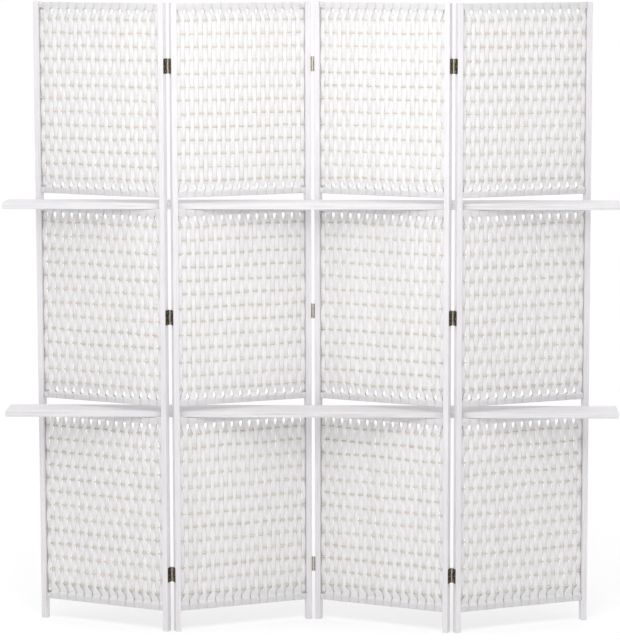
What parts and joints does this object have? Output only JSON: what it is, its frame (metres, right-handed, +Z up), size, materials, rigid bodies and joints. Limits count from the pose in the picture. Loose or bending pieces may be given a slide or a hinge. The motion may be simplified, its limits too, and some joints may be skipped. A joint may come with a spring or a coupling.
{
  "type": "folding screen",
  "caption": "Hinged zigzag room divider with woven cord infills and plank shelves threaded through slots in its panels.",
  "frame": {"origin": "on the floor, at the middle of the footprint of the screen standing in its zigzag", "axes": "+Z up along the posts, +X to the right along the shelves seen from the front, +Y towards the back"},
  "size_m": [1.6536, 0.1682, 1.7],
  "materials": {
    "post_wood": "white painted softwood",
    "rail_wood": "white painted softwood",
    "shelf_wood": "white painted softwood, grain showing",
    "woven_cord": "white flat paper cord, plain weave",
    "splint_wood": "bare pale splint",
    "hinge_metal": "antique bronzed steel",
    "hinge_pin_metal": "dull brass"
  },
  "bodies": {
    "middle_hinge_pins": {"hinges_middle_pins": "hinge_pin_metal"},
    "panel_1": {"panel_1_left_post": "post_wood", "panel_1_right_post": "post_wood", "panel_1_bottom_rail": "rail_wood", "panel_1_top_rail": "rail_wood", "panel_1_lower_slot_rails": "rail_wood", "panel_1_upper_slot_rails": "rail_wood", "panel_1_splints": "splint_wood", "panel_1_lower_infill": "woven_cord", "panel_1_middle_infill": "woven_cord", "panel_1_upper_infill": "woven_cord", "hinges_left_outer_leaves": "hinge_metal"},
    "panel_2": {"panel_2_left_post": "post_wood", "panel_2_right_post": "post_wood", "panel_2_bottom_rail": "rail_wood", "panel_2_top_rail": "rail_wood", "panel_2_lower_slot_rails": "rail_wood", "panel_2_upper_slot_rails": "rail_wood", "panel_2_splints": "splint_wood", "panel_2_lower_infill": "woven_cord", "panel_2_middle_infill": "woven_cord", "panel_2_upper_infill": "woven_cord", "hinges_left_inner_leaves": "hinge_metal", "hinges_left_pins": "hinge_pin_metal", "hinges_middle_outer_leaves": "hinge_metal"},
    "panel_3": {"panel_3_left_post": "post_wood", "panel_3_right_post": "post_wood", "panel_3_bottom_rail": "rail_wood", "panel_3_top_rail": "rail_wood", "panel_3_lower_slot_rails": "rail_wood", "panel_3_upper_slot_rails": "rail_wood", "panel_3_splints": "splint_wood", "panel_3_lower_infill": "woven_cord", "panel_3_middle_infill": "woven_cord", "panel_3_upper_infill": "woven_cord", "hinges_middle_inner_leaves": "hinge_metal", "hinges_right_pins": "hinge_pin_metal", "hinges_right_outer_leaves": "hinge_metal"},
    "panel_4": {"panel_4_left_post": "post_wood", "panel_4_right_post": "post_wood", "panel_4_bottom_rail": "rail_wood", "panel_4_top_rail": "rail_wood", "panel_4_lower_slot_rails": "rail_wood", "panel_4_upper_slot_rails": "rail_wood", "panel_4_splints": "splint_wood", "panel_4_lower_infill": "woven_cord", "panel_4_middle_infill": "woven_cord", "panel_4_upper_infill": "woven_cord", "hinges_right_inner_leaves": "hinge_metal"},
    "upper_shelf": {"upper_shelf": "shelf_wood"},
    "lower_shelf": {"lower_shelf": "shelf_wood"}
  },
  "joints": [
    {"name": "fold", "type": "hinge", "parent": "middle_hinge_pins", "child": "panel_2", "pos_m": [0, 0.06499, 0.86], "axis": [0, 0, 1], "range_deg": [0, 67.5]},
    {"name": "fold_panel_3", "type": "hinge", "parent": "middle_hinge_pins", "child": "panel_3", "pos_m": [0, 0.06499, 0.86], "axis": [0, 0, 1], "range_deg": [-67.5, 0]},
    {"name": "fold_panel_1", "type": "hinge", "parent": "panel_2", "child": "panel_1", "pos_m": [-0.37912, -0.06499, 0.86], "axis": [0, 0, 1], "range_deg": [-135, 0]},
    {"name": "fold_panel_4", "type": "hinge", "parent": "panel_3", "child": "panel_4", "pos_m": [0.37912, -0.06499, 0.86], "axis": [0, 0, 1], "range_deg": [0, 135]},
    {"name": "upper_shelf_slide", "type": "slide", "parent": "middle_hinge_pins", "child": "upper_shelf", "axis": [1, 0, 0], "range_m": [0, 1.6536]},
    {"name": "lower_shelf_slide", "type": "slide", "parent": "middle_hinge_pins", "child": "lower_shelf", "axis": [1, 0, 0], "range_m": [0, 1.6536]}
  ],
  "couplings": [
    {"joint": "fold_panel_3", "follows": "fold", "ratio": -1},
    {"joint": "fold_panel_1", "follows": "fold", "ratio": -2},
    {"joint": "fold_panel_4", "follows": "fold", "ratio": 2}
  ]
}
